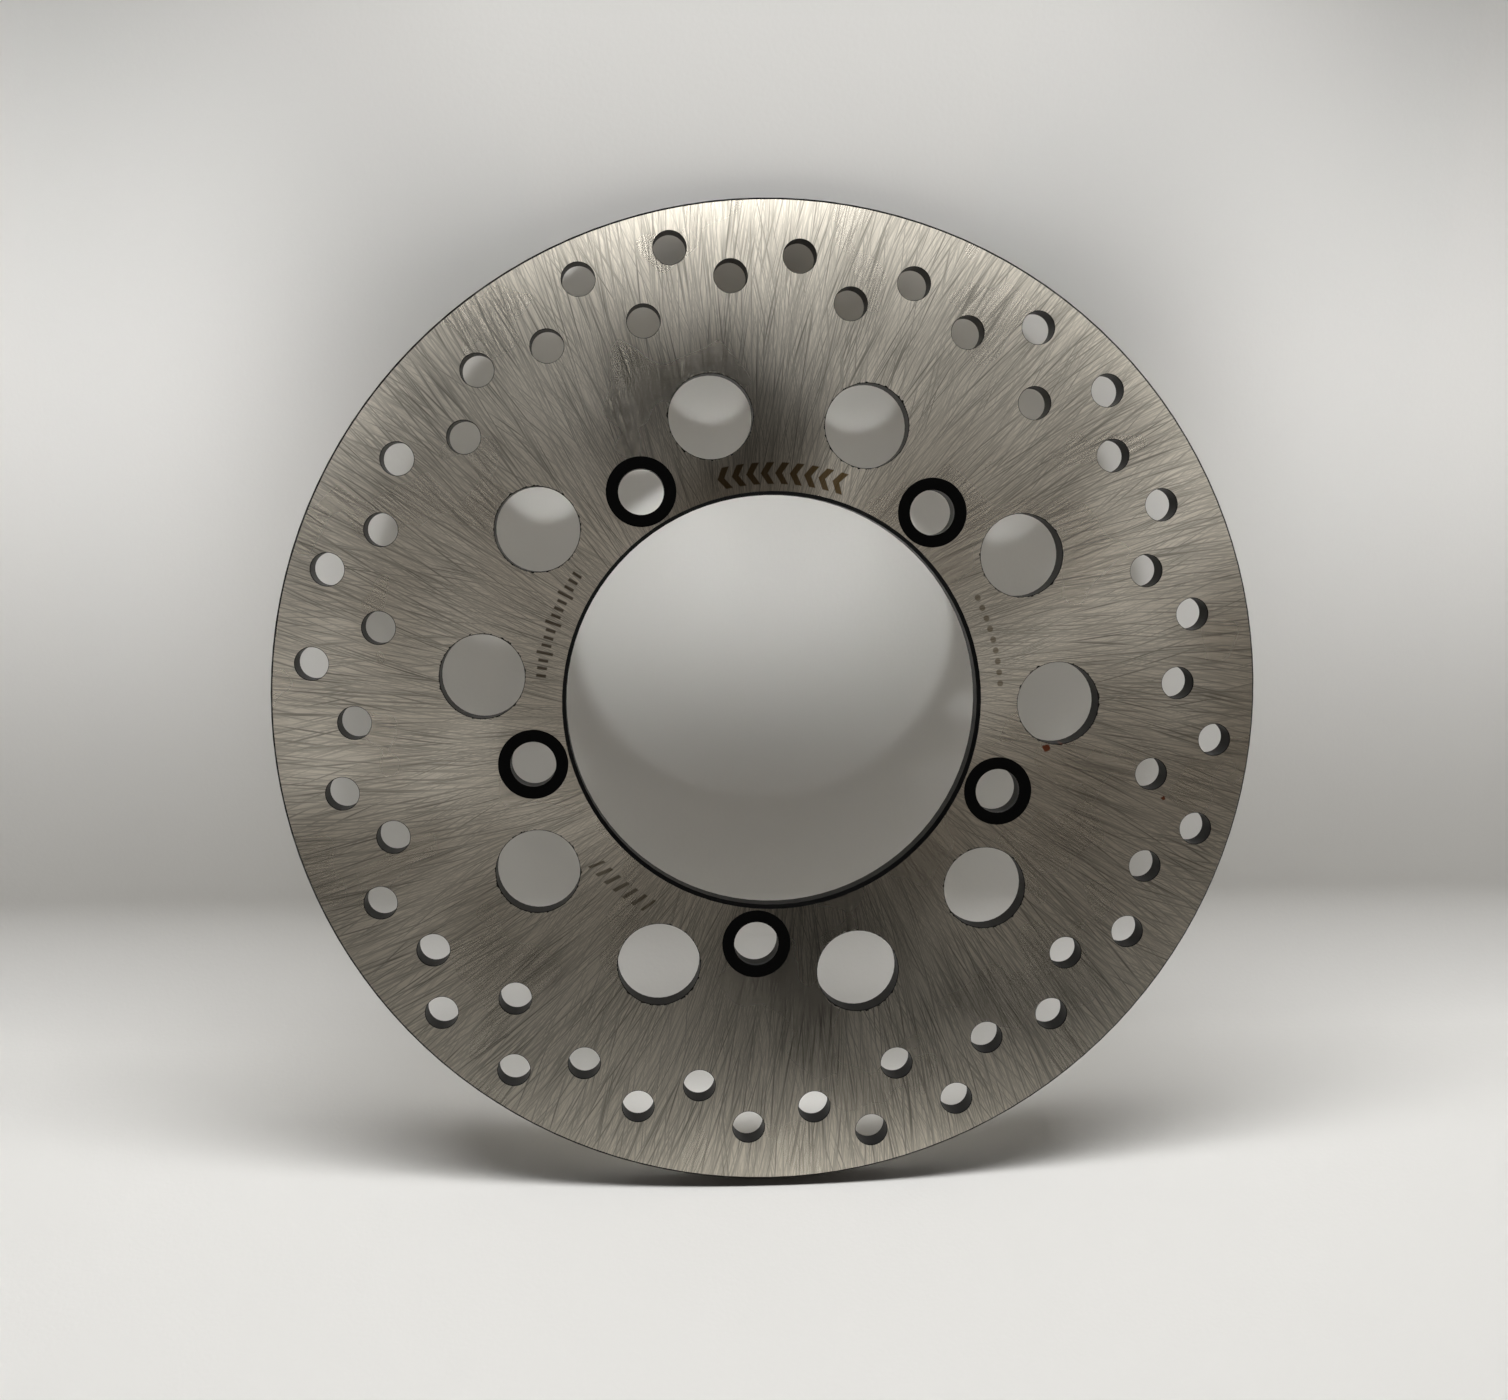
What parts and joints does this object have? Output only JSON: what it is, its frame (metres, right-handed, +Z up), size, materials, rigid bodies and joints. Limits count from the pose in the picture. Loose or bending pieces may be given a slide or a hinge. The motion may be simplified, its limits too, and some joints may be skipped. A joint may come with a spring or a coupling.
{
  "type": "brake disc",
  "caption": "Flat ground-steel motorcycle brake disc with a hub bore, a bolt circle with black seat rings, round lightening holes and a staggered band of small drilled holes.",
  "frame": {"origin": "centre of the hub bore, in the middle of the disc's thickness", "axes": "+Y along the spin axis, from the outer face with the seat rings towards the hub; +Z up and +X right as the outer face is looked at along +Y, with the lowest bolt hole 3.8 degrees off straight down"},
  "size_m": [0.24, 0.006, 0.24],
  "materials": {
    "ground_steel": "fine ground, brushed across the disc",
    "black_seat": "matt black"
  },
  "bodies": {
    "root": {"brake_disc": "ground_steel", "seat_ring_1": "black_seat", "seat_ring_2": "black_seat", "seat_ring_3": "black_seat", "seat_ring_4": "black_seat", "seat_ring_5": "black_seat"}
  },
  "joints": []
}
